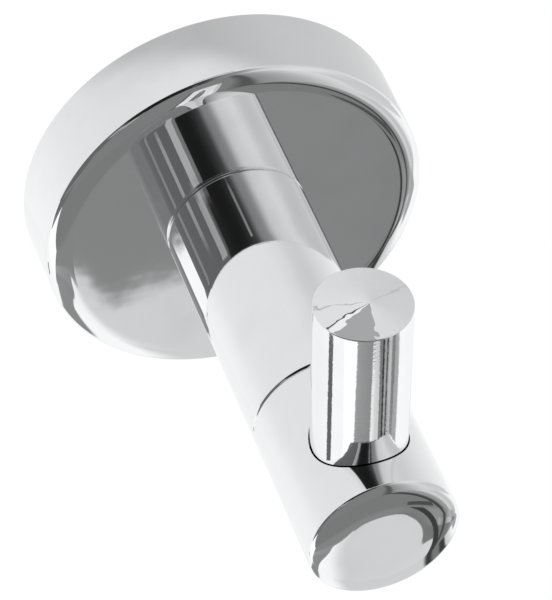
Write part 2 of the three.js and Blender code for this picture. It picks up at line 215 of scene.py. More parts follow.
def pierced_wall(ends, hole_along, hole_radius, reach, columns, axis, inward=False):
    """Turned wall with a round hole square to it at angle 0, and the hole's rim.

    The wall runs between two (radius, along) ends. A window round the hole spans half of the turn at most,
    and `reach` to each side along the axis. Inside it the surface blends in plan from the hole's circle to
    the window's rectangle, lifted to the wall's radius: across = sqrt(radius^2 - aside^2).
    """
    (first_radius, first), (last_radius, last) = ends
    slope = (last_radius - first_radius) / (last - first)
    sign = -1 if inward else 1

    def radius_at(along):
        return first_radius + slope * (along - first)

    def wall(start, end, angles, rows):
        points, _ = line((radius_at(start), start), (radius_at(end), end), rows)
        normal = sign * np.array([1, -slope]) / math.hypot(1, slope)
        return turned((points, np.repeat(normal[None], rows, 0)), angles, axis)

    turn = full_turn(columns)
    step = 2 * math.pi / columns
    spread = WINDOW_SLACK * math.asin(min(1, WINDOW_SPREAD * hole_radius / first_radius))
    half = max(min(round(spread / step), columns // 4), WINDOW_LEAST)
    low, high = hole_along - reach, hole_along + reach
    side_rows = np.linspace(low, high, 2 * half + 1)
    window = np.arange(-half, half + 1) * step
    side = np.ones(2 * half)
    left, right = side * window[0], side * window[-1]
    edge_turn = np.concatenate([window[:-1], right, window[:0:-1], left, window[:1]])
    edge_along = np.concatenate([side * low, side_rows[:-1], side * high, side_rows[:0:-1], side_rows[:1]])
    outer = np.stack([radius_at(edge_along) * np.sin(edge_turn), edge_along - hole_along], -1)
    spin = np.linspace(0, 2 * math.pi, len(edge_turn)) - 1.5 * QUARTER
    inner = hole_radius * np.stack([np.cos(spin), np.sin(spin)], -1)
    share = np.linspace(0, 1, WINDOW_ROWS + 1)[:, None, None]
    plan = inner + share * (outer - inner)
    aside, along = plan[..., 0], plan[..., 1] + hole_along
    radius = radius_at(along)
    across = np.sqrt(radius**2 - aside**2)
    origin, towards, sideways, lengthways = axis
    across_axis = across[..., None] * towards + aside[..., None] * sideways
    grid = origin + across_axis + along[..., None] * lengthways
    facing = across_axis - slope * radius[..., None] * lengthways
    facing *= sign / np.linalg.norm(facing, axis=-1, keepdims=True)
    patches = [
        wall(first, low, turn, 2),
        wall(high, last, turn, 2),
        wall(low, high, turn[half : columns - half + 1], 2 * half + 1),
        (grid, facing),
    ]
    hole_normal = -(np.cos(spin)[:, None] * sideways + np.sin(spin)[:, None] * lengthways)
    return patches, grid[0], hole_normal


def between(first_rim, last_rim, normal):
    """Ruled wall from one rim of a hole to the other."""
    grid = np.stack([first_rim, last_rim])
    return grid, np.repeat(normal[None], 2, 0)


def grid_quads(rows, columns, start=0):
    """Quads of a grid whose points are numbered row by row from start."""
    index = start + np.arange(rows * columns).reshape(rows, columns)
    corners = (index[:-1, :-1], index[:-1, 1:], index[1:, 1:], index[1:, :-1])
    return np.stack(corners, -1).reshape(-1, 4)


def make_piece(name, patches, body, node, material):
    """Joins grid patches into one closed mesh that stands for a CAD node.

    Points nearer than the weld distance become one vertex, a quad that shrinks to a triangle at a pole
    loses its doubled corner, and every face corner keeps the normal that its patch gives.
    """
    quads, start = [], 0
    points = np.concatenate([grid.reshape(-1, 3) for grid, _ in patches])
    normals = np.concatenate([facing.reshape(-1, 3) for _, facing in patches])
    for grid, _ in patches:
        patch_quads = grid_quads(*grid.shape[:2], start)
        start += grid.shape[0] * grid.shape[1]
        diagonals = points[patch_quads[:, 2:]] - points[patch_quads[:, :2]]
        facing = np.cross(diagonals[:, 0], diagonals[:, 1])
        if np.sum(facing * normals[patch_quads].mean(1)) < 0:
            patch_quads = patch_quads[:, ::-1]
        quads.append(patch_quads)
    quads = np.concatenate(quads)
    _, kept, merged = np.unique(
        np.round(points / WELD_DISTANCE).astype(np.int64), axis=0, return_index=True, return_inverse=True
    )
    merged = merged.ravel()
    doubled = merged[quads] == merged[np.roll(quads, -1, 1)]
    whole = quads[doubled.sum(1) == 0]
    pinched = doubled.sum(1) == 1
    turn = (doubled[pinched].argmax(1)[:, None] + np.arange(1, 4)) % 4
    thirds = np.take_along_axis(quads[pinched], turn, 1)
    faces = merged[whole].tolist() + merged[thirds].tolist()
    mesh = bpy.data.meshes.new(name)
    mesh.from_pydata(points[kept].tolist(), [], faces)
    mesh.polygons.foreach_set("use_smooth", np.ones(len(faces), bool))
    corner_normals = [normals[whole].reshape(-1, 3), normals[thirds].reshape(-1, 3)]
    mesh.normals_split_custom_set(np.concatenate(corner_normals))
    place_piece(name, mesh, body, node, material)


def place_piece(name, mesh, body, node, material):
    """Puts a finished mesh into the scene on its CAD body, in place of its CAD node."""
    mesh.materials.append(material)
    piece = bpy.data.objects.new(name, mesh)
    bpy.context.scene.collection.objects.link(piece)
    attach(piece, body)
    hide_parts(node)


def node(tree, kind, inputs=None, **settings):
    """Adds a node with its settings, values and links. A node as a value gives its first live output."""
    made = tree.nodes.new("ShaderNode" + kind)
    for name, value in settings.items():
        setattr(made, name, value)
    for key, value in (inputs or {}).items():
        if isinstance(value, bpy.types.Node):
            value = next(socket for socket in value.outputs if socket.enabled)
        if isinstance(value, bpy.types.NodeSocket):
            tree.links.new(value, made.inputs[key])
        else:
            made.inputs[key].default_value = value
    return made


def new_material(name):
    """Empty node material and its tree, or the one of that name that is already there, and no tree."""
    made = bpy.data.materials.get(name)
    if made:
        return made, None
    made = bpy.data.materials.new(name)
    made.use_nodes = True
    made.node_tree.nodes.clear()
    return made, made.node_tree


def per_metre(feature):
    """Noise scale whose features are about the given size in metres."""
    return 1 / feature


def metal(tree, share, colours, roughness, normal):
    """Metal whose colour and roughness go from the first to the last as the share goes from 0 to 1."""
    first, last = ((*tone, 1) for tone in colours)
    tone = node(tree, "Mix", {"Factor": share, "A": first, "B": last}, data_type="RGBA")
    gloss = node(tree, "MapRange", {"Value": share, "To Min": roughness[0], "To Max": roughness[1]})
    surface = {"Base Color": tone, "Metallic": 1, "Roughness": gloss, "Normal": normal}
    shader = node(tree, "BsdfPrincipled", surface)
    node(tree, "OutputMaterial", {"Surface": shader})


# Marks on the chrome: the haze's size, detail and noise range, then size and depth of the buffing waves,
# the peg's pits, drawn coarser than real ones so that they show, and its tip's dents, and where they end
HAZE_SIZE, HAZE_DETAIL, HAZE_FROM, HAZE_TO = 9 * MM, 4, 0.45, 0.7
CHROME_ROUGHNESS, MARK_DETAIL = (0.028, 0.05), 1
BUFFING_SIZE, BUFFING_DEPTH = 3.5 * MM, 0.003 * MM
PIT_SIZE, PIT_DEPTH = 0.3 * MM, 0.0042 * MM
DENT_SIZE, DENT_DEPTH = 1.8 * MM, 0.04 * MM
BUFFING_END = (ROSETTE_LOW.y, ROSETTE_LOW.y + 1.4 * MM)
PIT_END = (PEG_HIGH.z - 1.05 * MM, PEG_HIGH.z - 0.9 * MM)


def polished_chrome(finish, name="polished_chrome_plate", pitted=False):
    """Chrome plate on brass, polished to a mirror: near-white metal, a faint haze of wiping marks that
    widens the reflection here and there, and a slow waviness left by the buffing wheel that bends straight
    reflections, except on the rosette's side. The peg has fine pits too, and shallow dents on its tip."""
    made, tree = new_material(name)
    if not tree:
        return made
    place = node(tree, "TexCoord").outputs["Object"]
    parts = node(tree, "SeparateXYZ", {"Vector": place}).outputs
    haze_noise = {"Vector": place, "Scale": per_metre(HAZE_SIZE), "Detail": HAZE_DETAIL}
    haze = {"Value": node(tree, "TexNoise", haze_noise), "From Min": HAZE_FROM, "From Max": HAZE_TO}
    film = node(tree, "MapRange", haze, interpolation_type="SMOOTHSTEP")
    marks = [(BUFFING_SIZE, BUFFING_DEPTH, "Y", BUFFING_END, 1, 0)]
    if pitted:
        marks += [(PIT_SIZE, PIT_DEPTH, "Z", PIT_END, 1, 0), (DENT_SIZE, DENT_DEPTH, "Z", PIT_END, 0, 1)]
    under = {}
    for size, depth, axis, (start, end), before, after in marks:
        ends = {"From Min": start, "From Max": end, "To Min": before, "To Max": after}
        strength = node(tree, "MapRange", {"Value": parts[axis], **ends})
        pattern = {"Vector": place, "Scale": per_metre(size), "Detail": MARK_DETAIL}
        height = node(tree, "TexNoise", pattern)
        raised = {"Height": height, "Strength": strength, "Distance": depth, **under}
        under = {"Normal": node(tree, "Bump", raised)}
    metal(tree, film, (finish.chrome, finish.chrome_haze), CHROME_ROUGHNESS, under["Normal"])
    return made


# Detail of the grain's noise, and the noise over which the grain's colour comes
GRAIN_DETAIL, GRAIN_FROM, GRAIN_TO = 5, 0.35, 0.65


def grained_metal(name, colours, grain_size, roughness, depth, stretch=(1, 1, 1)):
    """Metal whose colour and gloss follow noise of the given grain size, with the grain raised a little."""
    made, tree = new_material(name)
    if not tree:
        return made
    place = node(tree, "TexCoord").outputs["Object"]
    drawn = node(tree, "Mapping", {"Vector": place, "Scale": stretch})
    pattern = {"Vector": drawn, "Scale": per_metre(grain_size), "Detail": GRAIN_DETAIL}
    grain = node(tree, "TexNoise", pattern)
    share = node(tree, "MapRange", {"Value": grain, "From Min": GRAIN_FROM, "From Max": GRAIN_TO})
    raised = node(tree, "Bump", {"Height": grain, "Strength": 1, "Distance": depth})
    metal(tree, share, colours, roughness, raised)
    return made


def zinc_plate(finish):
    """Bright zinc plate on pressed steel: satin grey with a fine drawn grain from rolling."""
    colours, stretch = (finish.zinc, finish.zinc_spangle), (1, 1, 0.12)
    return grained_metal("bright_zinc_plate", colours, 1.2 * MM, (0.24, 0.4), 0.004 * MM, stretch)


def black_oxide(finish):
    """Black oxide on hardened steel: dark, dull, and rubbed thin in small spots."""
    colours = (finish.oxide, finish.oxide_worn)
    return grained_metal("black_oxide_steel", colours, 0.8 * MM, (0.35, 0.55), 0.003 * MM)


def turned_brass(finish):
    """Turned brass: warm, with fine rings from the tool round the axis."""
    colours, stretch = (finish.brass, finish.brass_dull), (0.15, 1, 0.15)
    return grained_metal("turned_brass", colours, 1 * MM, (0.22, 0.38), 0.003 * MM, stretch)


def scene_values(context):
    """Sizes and finishes that the scene holds."""
    return context.scene.hook_sizes, context.scene.hook_finish


class HOOK_OT_rosette(bpy.types.Operator):
    """Makes the rosette: a cup with a soft front edge and a threaded hole in its underside"""

    bl_idname = "towel_hook.rosette"
    bl_label = "Rosette"

    def execute(self, context):
        sizes, finish = scene_values(context)
        columns, turn = sizes.columns, full_turn(sizes.columns)
        radius, depth = ROSETTE_HIGH.x, -ROSETTE_LOW.y
        front_radius = radius - sizes.rosette_draft
        inside = radius - sizes.rosette_wall
        inner_front = depth - sizes.rosette_front_wall
        front_edge = (sizes.rosette_edge_width, sizes.rosette_edge_depth)
        edge_start = depth - sizes.rosette_edge_depth
        face_radius = front_radius - sizes.rosette_edge_width
        rear = sizes.rosette_rear_edge
        hole = sizes.rosette_centre_hole
        sections = [
            *joined_line([(inside, 0), (radius - rear, 0)]),
            arc((radius - rear, rear), (rear, rear), -1, 0, sizes.edge_rows // 2),
            arc((face_radius, edge_start), front_edge, 0, 1, 2 * sizes.edge_rows),
            *joined_line([(face_radius, depth), (hole, depth), (hole, inner_front), (inside, inner_front)]),
        ]
        opening = (SCREW_FROM_WALL, sizes.screw_hole, SCREW_WINDOW, columns, ROSETTE_AXIS)
        outer_ends = ((radius, rear), (front_radius, edge_start))
        inner_ends = ((inside, 0), (inside, inner_front))
        outer_wall, outer_rim, hole_normal = pierced_wall(outer_ends, *opening)
        inner_wall, inner_rim, _ = pierced_wall(inner_ends, *opening, inward=True)
        patches = [turned(section, turn, ROSETTE_AXIS) for section in sections]
        patches += outer_wall + inner_wall + [between(outer_rim, inner_rim, hole_normal)]
        make_piece("rosette_cup", patches, "hook", "rosette", polished_chrome(finish))
        return {"FINISHED"}


class HOOK_OT_post(bpy.types.Operator):
    """Makes the post: a tube with a small rounding at each end"""

    bl_idname = "towel_hook.post"
    bl_label = "Post"

    def execute(self, context):
        sizes, finish = scene_values(context)
        radius, back, front = POST_HIGH.x, -POST_HIGH.y, -POST_LOW.y
        inside, edge, foot = radius - sizes.post_wall, sizes.post_edge, sizes.post_foot
        sections = [
            *joined_line([(inside, front), (inside, back), (radius - foot, back)]),
            arc((radius - foot, back + foot), (foot, foot), -1, 0, sizes.edge_rows),
            line((radius, back + foot), (radius, front - edge)),
            arc((radius - edge, front - edge), (edge, edge), 0, 1, sizes.edge_rows),
            line((radius - edge, front), (inside, front)),
        ]
        patches = [turned(section, full_turn(sizes.columns), POST_AXIS) for section in sections]
        make_piece("post_sleeve", patches, "hook", "post_tube", polished_chrome(finish))
        return {"FINISHED"}


class HOOK_OT_head(bpy.types.Operator):
    """Makes the head: a turned front piece with a rounded end and a bore for the peg"""

    bl_idname = "towel_hook.head"
    bl_label = "Head"

    def execute(self, context):
        sizes, finish = scene_values(context)
        columns, turn = sizes.columns, full_turn(sizes.columns)
        radius, end, spigot_back = HEAD_HIGH.x, -HEAD_LOW.y, -HEAD_HIGH.y
        back = -POST_LOW.y + (-POST_HIGH.y + ROSETTE_LOW.y)
        rear, bore = sizes.head_rear_edge, PEG_HIGH.x + sizes.bore_gap
        front = (sizes.head_edge_width, sizes.head_edge_depth)
        hole, hole_end = sizes.bolt_hole, sizes.bolt_hole_end
        spigot = sizes.spigot_radius
        inner = [(0, hole_end), (hole, hole_end), (hole, spigot_back), (spigot, spigot_back), (spigot, back)]
        sections = [
            *joined_line([*inner, (radius - rear, back)]),
            arc((radius - rear, back + rear), (rear, rear), -1, 0, sizes.edge_rows),
            arc((radius - front[0], end - front[1]), front, 0, 1, 3 * sizes.edge_rows),
            line((radius - front[0], end), (0, end)),
        ]
        side_ends = ((radius, back + rear), (radius, end - front[1]))
        side, rim, rim_normal = pierced_wall(side_ends, PEG_FROM_WALL, bore, PEG_WINDOW, columns, POST_AXIS)
        foot_rim = rim * (1, 1, 0) + (0, 0, sizes.bore_floor)
        across = np.linspace(1, hole / bore, 2)[:, None, None]
        centre = np.array([0, -PEG_FROM_WALL, sizes.bore_floor])
        floor_ring = centre + across * (foot_rim - centre)
        stud_foot = floor_ring[1] * (1, 1, 0) + (0, 0, sizes.stud_hole_foot)
        stud_end = np.stack([stud_foot, np.repeat(stud_foot.mean(0, keepdims=True), len(stud_foot), 0)])
        upright = np.zeros_like(floor_ring) + (0, 0, 1)
        patches = [turned(section, turn, POST_AXIS) for section in sections] + side
        patches += [
            between(rim, foot_rim, rim_normal),
            (floor_ring, upright),
            between(floor_ring[1], stud_foot, rim_normal),
            (stud_end, upright),
        ]
        make_piece("head_cap", patches, "hook", "head", polished_chrome(finish))
        return {"FINISHED"}


class HOOK_OT_peg(bpy.types.Operator):
    """Makes the peg: a round bar with a low conical tip whose point lies beside the axis"""

    bl_idname = "towel_hook.peg"
    bl_label = "Peg"

    def execute(self, context):
        sizes, finish = scene_values(context)
        turn = full_turn(sizes.columns)
        radius, foot, edge_top = PEG_HIGH.x, PEG_LOW.z, PEG_HIGH.z - sizes.tip_rise
        edge, chamfer = sizes.peg_edge, sizes.peg_foot_chamfer
        hole, hole_top = sizes.bolt_hole, sizes.stud_hole_top
        inner = [(0, hole_top), (hole, hole_top), (hole, foot), (radius - chamfer, foot)]
        sections = [
            *joined_line([*inner, (radius, foot + chamfer), (radius, edge_top - edge)]),
            arc((radius - edge, edge_top - edge), (edge, edge), 0, PEG_EDGE_TURN, sizes.edge_rows // 2),
        ]
        patches = [turned(section, turn, PEG_AXIS) for section in sections]
        patches.append(self.tip(sizes, turn, sections[-1][0][-1]))
        chrome = polished_chrome(finish, "pitted_chrome_bar", pitted=True)
        make_piece("peg_bar", patches, "hook", "peg", chrome)
        return {"FINISHED"}

    def tip(self, sizes, turn, rim):
        """Leaning cone: spokes from the rim to a point beside the axis. The height rises evenly and rounds
        off as a hyperbola, rise x (root(1 + e^2) - root((1 - t)^2 + e^2)), where t goes from rim to point
        and e is the softness."""
        share = 1 - np.linspace(1, 0, TIP_ROWS + 1)[:, None] ** TIP_CROWDING
        slant = np.hypot(1 - share, TIP_SOFTNESS)
        full = math.hypot(1, TIP_SOFTNESS) - TIP_SOFTNESS
        rise = PEG_HIGH.z - rim[1]
        height = rim[1] + rise * (math.hypot(1, TIP_SOFTNESS) - slant) / full
        climb = rise * (1 - share) / slant / full
        spoke_x, spoke_y = np.sin(turn)[None], -np.cos(turn)[None]
        offset_x, offset_y = sizes.tip_offset_x, sizes.tip_offset_y
        x = share * offset_x + (1 - share) * rim[0] * spoke_x
        y = share * offset_y + (1 - share) * rim[0] * spoke_y - PEG_FROM_WALL
        grid = np.stack([x, y, np.broadcast_to(height, x.shape)], -1)
        run = rim[0] - offset_x * spoke_x - offset_y * spoke_y
        facing = np.stack([climb * spoke_x, climb * spoke_y, np.broadcast_to(run, x.shape)], -1)
        return grid, facing / np.linalg.norm(facing, axis=-1, keepdims=True)


class HOOK_OT_wall_plate(bpy.types.Operator):
    """Makes the wall plate: a pressed disc with a flat, two screw slots and a collar"""

    bl_idname = "towel_hook.wall_plate"
    bl_label = "Wall plate"

    def execute(self, context):
        sizes, finish = scene_values(context)
        radius, flat, depth = PLATE_HIGH.x, -PLATE_LOW.z, -PLATE_LOW.y
        edge = sizes.plate_edge
        half_flat = math.acos(flat / radius)
        rim_angle = np.linspace(half_flat, 2 * math.pi - half_flat, sizes.columns) - math.pi
        rim = radius * np.stack([np.sin(rim_angle), np.cos(rim_angle)], -1)
        outline = bpy.data.curves.new("wall_plate_outline", "CURVE")
        outline.dimensions, outline.fill_mode = "2D", "BOTH"
        outline.extrude = sizes.plate_thickness / 2 - edge
        outline.bevel_depth, outline.bevel_resolution, outline.offset = edge, PLATE_EDGE_ROWS, -edge
        for loop in (rim, self.slot(sizes, -1), self.slot(sizes, 1)):
            spline = outline.splines.new("POLY")
            spline.points.add(len(loop) - 1)
            points = np.column_stack([loop, np.zeros(len(loop)), np.ones(len(loop))])
            spline.points.foreach_set("co", points.ravel())
            spline.use_cyclic_u = True
        drawn = bpy.data.objects.new("wall_plate_outline", outline)
        mesh = bpy.data.meshes.new_from_object(drawn)
        bpy.data.objects.remove(drawn)
        bpy.data.curves.remove(outline)
        forward = Matrix.Translation((0, -sizes.plate_thickness / 2, 0))
        mesh.transform(forward @ Matrix.Rotation(QUARTER, 4, "X"))
        mesh.set_sharp_from_angle(angle=math.radians(SHARP_DEGREES))
        mesh.name = "wall_plate_disc"
        zinc = zinc_plate(finish)
        place_piece("wall_plate_disc", mesh, "wall_plate", "wall_plate", zinc)
        collar = self.collar(sizes, radius, flat, depth)
        make_piece("wall_plate_collar", collar, "wall_plate", "wall_plate", zinc)
        return {"FINISHED"}

    def collar(self, sizes, radius, flat, depth):
        """Square-edged ring on the disc's rim, as wide as the disc, or flat / cos(angle) at the flat."""
        turn = full_turn(sizes.columns)
        down, along, spoke = ROSETTE_AXIS[1], ROSETTE_AXIS[3], spokes(turn, ROSETTE_AXIS)
        at_flat = np.cos(turn)[:, None] > flat / radius
        outer = (flat / np.maximum(np.cos(turn), flat / radius))[:, None] * spoke
        inner = (radius - sizes.plate_collar) * spoke
        back = (sizes.plate_thickness - sizes.plate_edge) * along
        front = depth * along
        level = np.zeros_like(spoke) + along
        walls = (
            (inner + front, inner + back, -spoke),
            (inner + back, outer + back, -level),
            (outer + back, outer + front, np.where(at_flat, down, spoke)),
            (outer + front, inner + front, level),
        )
        return [between(first, last, normal) for first, last, normal in walls]

    def slot(self, sizes, side):
        """Outline of an upright slot: two half circles joined by straight sides."""
        end = sizes.slot_width / 2
        straight = (sizes.slot_length - sizes.slot_width) / 2
        angle = np.linspace(0, math.pi, SLOT_END_POINTS)
        upper = np.stack([end * np.cos(angle), straight + end * np.sin(angle)], -1)
        return np.concatenate([upper, -upper]) + (side * sizes.slot_spacing / 2, 0)


class HOOK_OT_set_screw(bpy.types.Operator):
    """Makes the set screw: a headless screw with a hexagonal socket in its outer end"""

    bl_idname = "towel_hook.set_screw"
    bl_label = "Set screw"

    def execute(self, context):
        sizes, finish = scene_values(context)
        radius, tip, outer = SCREW_HIGH.x, -SCREW_HIGH.z, -SCREW_LOW.z
        turn = full_turn(SCREW_COLUMNS)
        hexagon = sizes.key_width / 2 / np.cos((turn + math.pi / 6) % (math.pi / 3) - math.pi / 6)
        chamfer, floor = SCREW_CHAMFER, outer - sizes.key_depth
        stations = [
            (0, tip),
            (radius - chamfer, tip),
            (radius, tip + chamfer),
            (radius, outer - chamfer / 2),
            (radius - chamfer / 2, outer),
            ((1 + SOCKET_LEAD) * hexagon, outer),
            (hexagon, outer - SOCKET_LEAD * sizes.key_width),
            (hexagon, floor),
            (0, floor + SOCKET_CONE),
        ]
        reach = np.stack([np.broadcast_to(station[0], turn.shape) for station in stations])
        along = np.array([station[1] for station in stations])[:, None]
        origin, lengthways, spoke = SCREW_AXIS[0], SCREW_AXIS[3], spokes(turn, SCREW_AXIS)
        grid = origin + reach[..., None] * spoke[None] + along[..., None] * lengthways
        patches = [self.flat_row(grid[row : row + 2], spoke, lengthways) for row in range(len(stations) - 1)]
        make_piece("set_screw_m5", patches, "set_screw", "set_screw", black_oxide(finish))
        return {"FINISHED"}

    def flat_row(self, rows, spoke, lengthways):
        """One band of the screw with its own normal on each spoke: the band's climb turned by a quarter."""
        step = rows[1] - rows[0]
        out = (step * spoke).sum(-1, keepdims=True)
        climb = (step * lengthways).sum(-1, keepdims=True)
        normal = climb * spoke - out * lengthways
        normal /= np.maximum(np.linalg.norm(normal, axis=-1, keepdims=True), LEAST_LENGTH)
        return rows, np.stack([normal, normal])


class HOOK_OT_fasteners(bpy.types.Operator):
    """Gives the fasteners inside the hook their finishes"""

    bl_idname = "towel_hook.fasteners"
    bl_label = "Hidden fasteners"

    def execute(self, context):
        _, finish = scene_values(context)
        finishes = {
            zinc_plate: ("tie_bolt", "lock_washer", "flat_washer"),
            turned_brass: ("rear_bush",),
            black_oxide: ("locating_pin", "peg_stud"),
        }
        for material, names in finishes.items():
            for name in names:
                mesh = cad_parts[name].data
                mesh.materials.clear()
                mesh.materials.append(material(finish))
        return {"FINISHED"}


# Camera fitted to the photograph: degrees, metres, and pixels of the 552 x 600 picture
CAMERA_AZIMUTH, CAMERA_ELEVATION, CAMERA_ROLL = -18.894, 45.60, 0.411
CAMERA_TARGET, CAMERA_DISTANCE = (0, -0.030, 0.005), 0.4601
PHOTO_LONG_SIDE, FOCAL_PIXELS = 600, 3482.7
CENTRE_RIGHT_PIXELS, CENTRE_DOWN_PIXELS = 4.24, -12.98
SENSOR_WIDTH = 36

# The floor is a pale table far under the hook that glows, so its light is painted light, not lamp light
# falling on it. It ends in front of the hook and dims towards the back.
FLOOR_DROP, FLOOR_FRONT, FLOOR_BACK, FLOOR_HALF_WIDTH = 0.475, -0.30, 0.5, 2.5
FLOOR_LIGHT = [(-0.3, 1.04), (-0.12, 1.04), (0.3, 0.97), (0.5, 0.96)]
# Darker stretches of the floor, painted shade in its glow that reflections show and the camera doesn't:
# left, right and back edge, softness and light
FLOOR_STRETCHES = {
    "painted_shade_middle": (0.02, 0.3, 0.3, 0.03, 0.68),
    "painted_shade_right": (0.33, 0.46, -0.205, 0.012, 0.42),
    "dark_left": (-0.23, -0.095, 0.0, 0.012, 0.28),
    "grey_right": (0.195, 0.262, -0.02, 0.008, 0.2),
    "dark_right_near": (0.193, 0.211, -0.02, 0.006, 0.05),
    "dark_right_far": (0.236, 0.262, -0.02, 0.006, 0.05),
}
PLAIN_WHITE = 1.0

# The stops and cards below are chosen so that the chrome mirrors what it does in the photograph.
# Light of the room behind the wall's plane and in front of it, as (degrees, light) stops round the post's
# axis, from straight up towards +X, and the +Y share of the direction over which they change over
ROOM_BEHIND = [
    (-180, 1.0), (-138, 0.98), (-116, 0.94), (-98, 0.875), (-84, 0.845), (-60, 0.83), (2, 0.815),
    (22, 0.76), (34, 0.69), (48, 0.66), (56, 0.675), (66, 0.72), (74, 0.75), (85, 0.8), (105, 0.87),
    (130, 0.94), (150, 0.98), (180, 1.0),
]
ROOM_IN_FRONT = [
    (-180, 0.21), (-150, 0.21), (-125, 0.19), (-110, 0.15), (-50, 0.13), (-46.5, 0.02), (-30, 0.012),
    (-18, 0.014), (-10, 0.028), (-4, 0.045), (0, 0.07), (4, 0.16), (8, 0.24), (14, 0.26), (19, 0.31),
    (24, 0.47), (29, 0.63), (35, 0.7), (46, 0.75), (55, 0.79), (62, 0.78), (69, 0.72), (77, 0.66),
    (88, 0.63), (103, 0.65), (118, 0.7), (130, 0.74), (140, 0.72), (149, 0.21), (180, 0.21),
]
WALL_PLANE = (-0.06, 0.06)
# A dimmer strip farther behind, which the rosette's side mirrors: its near edge as an angle from -Y, its
# light, its softness in turns, and the angles from -Y over which it ends
FAR_EDGE = [
    (-75, 134.5), (-58, 134.25), (-30, 134.1), (-14, 133.95), (10, 133.75), (31, 133.4), (50, 133.0),
    (92, 132.8), (125, 132.6),
]
FAR_LIGHT = [
    (-75, 0.6), (-30, 0.5), (0, 0.505), (12, 0.5), (30, 0.55), (53, 0.6), (92, 0.63), (122, 0.7),
    (146, 0.77), (165, 0.97),
]
FAR_SOFTNESS = 0.25 / FULL_TURN
FAR_END = np.radians((134.45, 134.85))

# Light straight ahead of the hook, by the angle from -Y towards +X, and the +Y share of the direction
# over which it gives way to the room
ROOM_AHEAD = [
    (-60, 0.22), (12, 0.22), (14.5, 0.1), (16, 0.1), (17.5, 0.28), (24, 0.44), (32, 0.66), (42, 0.78),
]
AHEAD_EDGE = (-0.77, -0.745)
# Light on both sides of a dark seam below that, by how far that angle exceeds the angle below the level,
# and the elevations over which it gives way to what is above
ROOM_SEAM = [
    (-6, 0.21), (-5.4, 0.06), (-3.4, 0.06), (-2, 0.17), (-0.5, 0.32), (3, 0.34), (5, 0.46), (7.5, 0.7),
    (12, 0.66), (17, 0.57), (22, 0.62), (27, 0.86), (37, 1.0),
]
SEAM_TOP = np.radians((-22, -20))

# Light from below, in front of the floor's edge, in three layers, each with the elevations over which it
# gives way to what is above. The angle goes from -Y towards +X.
ROOM_BELOW = [
    (-60, 1.1), (-38, 1.1), (-36, 0.26), (0, 0.25), (20.5, 0.25), (24, 0.22), (31, 0.3), (35, 0.3),
    (38, 0.25), (42, 0.27), (45, 0.42), (49, 0.46), (53, 0.4), (57, 0.48), (61, 0.56), (66, 0.58),
    (73, 0.76), (84, 1.0),
]
ROOM_LOWER = [
    (-60, 1.1), (-38, 1.1), (-35, 0.4), (-20, 0.34), (0, 0.3), (18, 0.27), (23, 0.2), (33, 0.3),
    (34.7, 0.46), (37, 0.3), (41, 0.3), (43, 0.44), (47.5, 0.62), (50.5, 0.5), (53, 0.24), (60, 0.22),
    (62, 0.4), (76, 0.9),
]
ROOM_LOWEST = [
    (-60, 1.1), (-38, 1.1), (-36, 0.3), (0, 0.27), (20, 0.22), (24, 0.2), (46, 0.2), (50, 0.3),
    (58, 0.55), (66, 0.7), (90, 0.85),
]
LAYERS = (
    (ROOM_BELOW, np.radians((-42.8, -39.8))),
    (ROOM_LOWER, np.radians((-46.1, -45.3))),
    (ROOM_LOWEST, np.radians((-48.8, -47.8))),
)
# A lit stretch of the room below: its upper edge as (angle, elevation) stops, its light as (angle, light)
# stops, and its softness in turns
LIT_EDGE = [
    (-30, -70), (-20, -62), (-16, -59), (-12, -55.5), (-6, -52.3), (0, -50), (3.2, -48.4), (5, -46.6),
    (6, -46.4), (10, -46.3), (12.6, -45.8), (14, -45.15), (14.3, -45.33), (14.5, -45.52), (14.9, -45.9),
    (15.6, -45.57), (16.6, -45.4), (19, -46.2), (20.5, -46.6), (22.2, -47), (23, -48.8), (24.5, -50.2),
    (27, -51.2), (33, -51.6), (36, -53), (40, -56.6), (44, -60), (60, -70),
]
LIT_LIGHT = [(-8, 1.04), (4, 1.0), (8, 0.9), (12, 0.76), (16, 0.68), (30, 0.72)]
LIT_SOFTNESS = 0.18 / FULL_TURN


def round_post(turn, out):
    """Directions by the angle round the post's axis, from +Z towards +X, and the angle away from -Y."""
    return np.stack([np.sin(out) * np.sin(turn), -np.cos(out), np.sin(out) * np.cos(turn)], -1)


def over_level(aside, height):
    """Directions by the angle from -Y towards +X and the elevation."""
    return np.stack([np.cos(height) * np.sin(aside), -np.cos(height) * np.cos(aside), np.sin(height)], -1)


def askew(beside, height):
    """Directions by elevation and how far the angle from -Y towards +X exceeds the angle below the level."""
    return over_level(beside - height, height)


# Cards that only reflections see, each in front of the one before: how their two angles are measured,
# from and to of each in degrees, and the light
CARD_DISTANCE, CARD_STEP, CARD_POINTS = 4, 0.02, 17
CARDS = {
    "window": (round_post, -154, -119.5, 47.2, 80, 1.15),
    "far_tube": (round_post, -106, -101, 38, 60, 0.27),
    "near_tube": (round_post, -82, -76, 45.2, 47.4, 0.36),
    "softbox": (round_post, -62.5, -52, 46.6, 62, 0.39),
    "softbox_top": (round_post, -58, -46, 36, 46.6, 0.46),
    "softbox_side": (round_post, -46, -39.5, 36, 46.6, 0.2),
    "stand": (round_post, -8, -4.5, 46.7, 50, 0.26),
    "overhead_panel": (round_post, -8, 14, 99.5, 118, 0.42),
    "overhead_gloss": (round_post, -8, 8, 118, 121.2, 0.95),
    "overhead_edge": (round_post, -8, 8, 121.2, 122.6, 0.06),
    "dark_seam": (askew, -5.6, -3.2, -43, -39.5, 0.06),
    "dark_seam_low": (over_level, 37.4, 40.2, -56, -43, 0.08),
    "dark_streak": (over_level, 22, 31, -39.3, -36.3, 0.08),
    "dark_line": (askew, -18.6, -14.6, -58, -41, 0.05),
}
